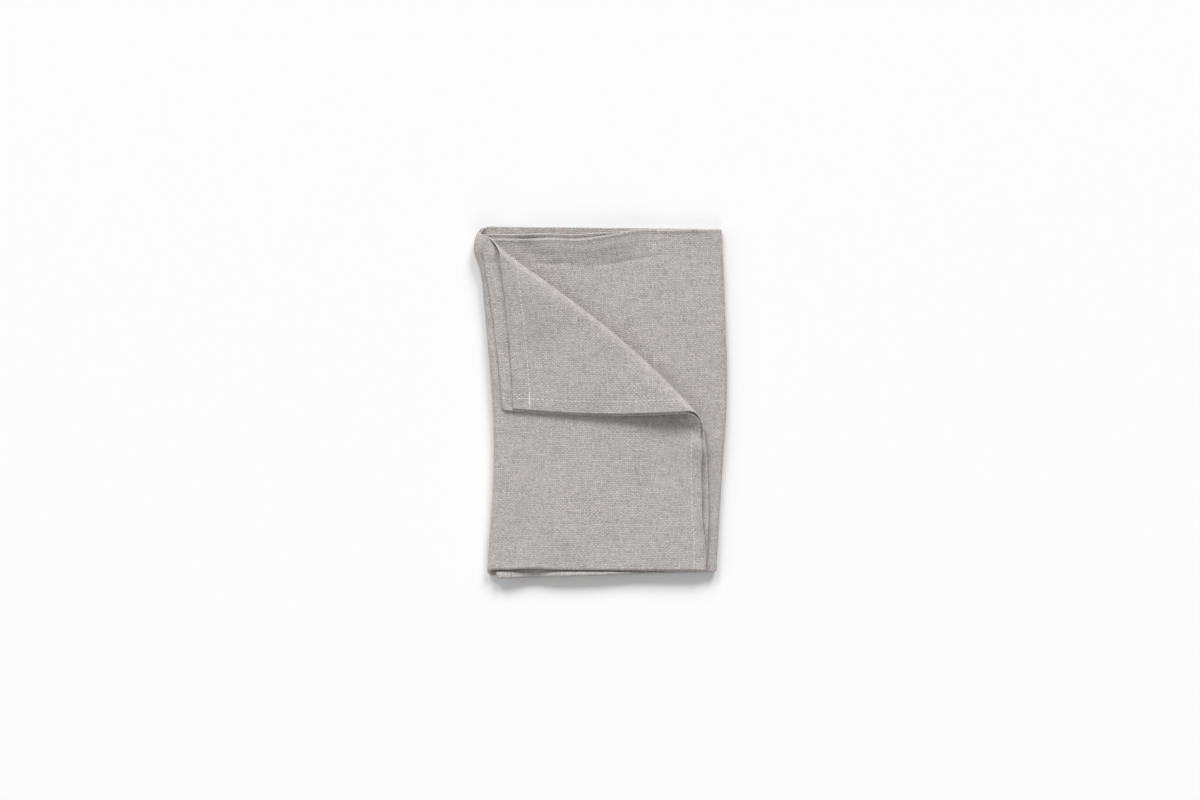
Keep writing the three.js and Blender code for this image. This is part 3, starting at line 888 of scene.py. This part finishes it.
def diagonal_crinkles(g, along, up):
    """Short crinkles along one diagonal or the other, patch by patch."""
    right, left = g.math("ADD", along, up), g.math("SUBTRACT", along, up)
    crinkles = []
    for one, other in ((right, left), (left, right)):
        place = g.math("DIVIDE", one, CRINKLE_LENGTH), g.math("DIVIDE", other, CRINKLE_WIDTH)
        crinkles.append(g.noise(*place, SEED["crinkle"]))
    patch = g.noise(*g.scaled(CRINKLE_PATCH, along, up), SEED["patch"])
    return g.mix(g.math("GREATER_THAN", patch, 0.0), *crinkles)


def weave_parts(g, along, up):
    """The yarns' pillows from 0 to 1, and the parts that make the weave uneven, all about 0."""
    yarns = count_yarns(g, along, up)
    counts = [g.math("FLOOR", yarn) for yarn in yarns]
    waves = [g.math("SINE", g.math("MULTIPLY", g.math("FRACT", yarn), math.pi)) for yarn in yarns]
    warp_over = g.math("FLOORED_MODULO", g.math("ADD", *counts), 2.0)
    warp = g.math("MULTIPLY", waves[0], g.math("SQRT", waves[1]))
    weft = g.math("MULTIPLY", waves[1], g.math("SQRT", waves[0]))
    spot = g.node("ShaderNodeCombineXYZ", X=counts[0], Y=counts[1]).outputs[0]
    chance = g.node("ShaderNodeTexWhiteNoise", {"noise_dimensions": "2D"}, Vector=spot)
    return {
        "pillow": g.mix(warp_over, weft, warp),
        "warp_over": g.math("SUBTRACT", warp_over, 0.5),
        "slub": g.mix(warp_over, *yarn_slubs(g, along, up, counts)),
        "knot": g.math("SUBTRACT", chance.outputs["Value"], 0.5),
        "crinkle": diagonal_crinkles(g, along, up),
        "grain": g.noise(*yarns, SEED["grain"], detail=1.0),
        "blotch": g.noise(*g.scaled(BLOTCH, along, up), SEED["blotch"], detail=2.0),
    }


def weave_material(name, colour):
    """Plain weave of slubby yarns, drawn on the flat cloth in millimetres, with painted shade in the
    gaps between the yarns and painted light and shade on the warp and weft floats.
    """
    material = bpy.data.materials.new(name)
    material.use_nodes = True
    g = Graph(material)
    flat = g.node("ShaderNodeUVMap", {"uv_map": "flat"}).outputs[0]
    split = g.node("ShaderNodeSeparateXYZ", Vector=flat)
    parts = weave_parts(g, split.outputs["X"], split.outputs["Y"])
    # Painted shade: darker in the gaps between the yarns' pillows
    tone = g.math("MULTIPLY_ADD", parts["pillow"], PAINTED_GAP_SHADE, 1 - PAINTED_GAP_SHADE * PILLOW_MEAN)
    # Among these, warp_over paints warp floats lighter and weft floats darker, as painted light and
    # shade
    for part, amount in TONE.items():
        tone = g.math("MULTIPLY_ADD", parts[part], amount, tone)
    swell = g.math("MULTIPLY_ADD", parts["slub"], SLUB_SWELL, 1.0)
    height = g.math("MULTIPLY", parts["pillow"], swell)
    for part, amount in RELIEF.items():
        height = g.math("MULTIPLY_ADD", parts[part], amount, height)

    tint = g.node("ShaderNodeVectorMath", {"operation": "SCALE"}, Scale=tone)
    tint.inputs[0].default_value = colour
    bump = g.node("ShaderNodeBump", Height=height, Strength=1.0, Distance=WEAVE_RELIEF * MM)
    shader = material.node_tree.nodes["Principled BSDF"]
    for setting, value in CLOTH_FINISH.items():
        shader.inputs[setting].default_value = value
    g.put(shader.inputs["Base Color"], tint.outputs[0])
    g.put(shader.inputs["Normal"], bump.outputs[0])
    return material


def plain_material(name, colour, roughness):
    material = bpy.data.materials.new(name)
    material.use_nodes = True
    shader = material.node_tree.nodes["Principled BSDF"]
    shader.inputs["Base Color"].default_value = (*colour, 1)
    shader.inputs["Roughness"].default_value = roughness
    return material


ply = build_ply()
sheet, layers = build_sheet(ply)
cloth = make_object(
    "napkin_cloth",
    np.concatenate(sheet.points),
    sheet.faces,
    weave_material("greige_weave", CLOTH_COLOUR),
    np.concatenate(sheet.flats),
)
thread = sew_hems(ply, sheet, layers)
stitches = make_object(
    "hem_stitches",
    np.concatenate(thread.points),
    thread.faces,
    plain_material("off_white_thread", THREAD_COLOUR, THREAD_ROUGHNESS),
)
for piece in (cloth, stitches):
    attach(piece, "root")
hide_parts("napkin")

# Floor
bpy.ops.mesh.primitive_plane_add(size=FLOOR_SIDE)
floor = bpy.context.object
floor.name = "floor"
floor.data.materials.append(plain_material("pale_floor", FLOOR_COLOUR, FLOOR_ROUGHNESS))

# Light
for name, (energy, width, tip_y, tip_x) in SUNS.items():
    light = bpy.data.lights.new(name, "SUN")
    light.energy = energy
    light.angle = math.radians(width)
    sun = bpy.data.objects.new(name, light)
    sun.rotation_euler = (math.radians(-tip_y), math.radians(tip_x), 0)
    bpy.context.scene.collection.objects.link(sun)

world = bpy.data.worlds.new("soft_room")
world.use_nodes = True
background = world.node_tree.nodes["Background"]
background.inputs["Color"].default_value = (1, 1, 1, 1)
background.inputs["Strength"].default_value = ROOM_LIGHT
bpy.context.scene.world = world
bpy.context.scene.view_settings.view_transform = "Standard"

# Camera
camera_data = bpy.data.cameras.new("camera")
camera_data.lens = LENS
camera_data.sensor_width = SENSOR
camera = bpy.data.objects.new("camera", camera_data)
camera_height = CLOTH_TOP + FRAME_WIDTH * LENS / SENSOR
camera.location = (-PLAN_CENTRE[0] * MM, -PLAN_CENTRE[1] * MM, camera_height)
bpy.context.scene.collection.objects.link(camera)
bpy.context.scene.camera = camera
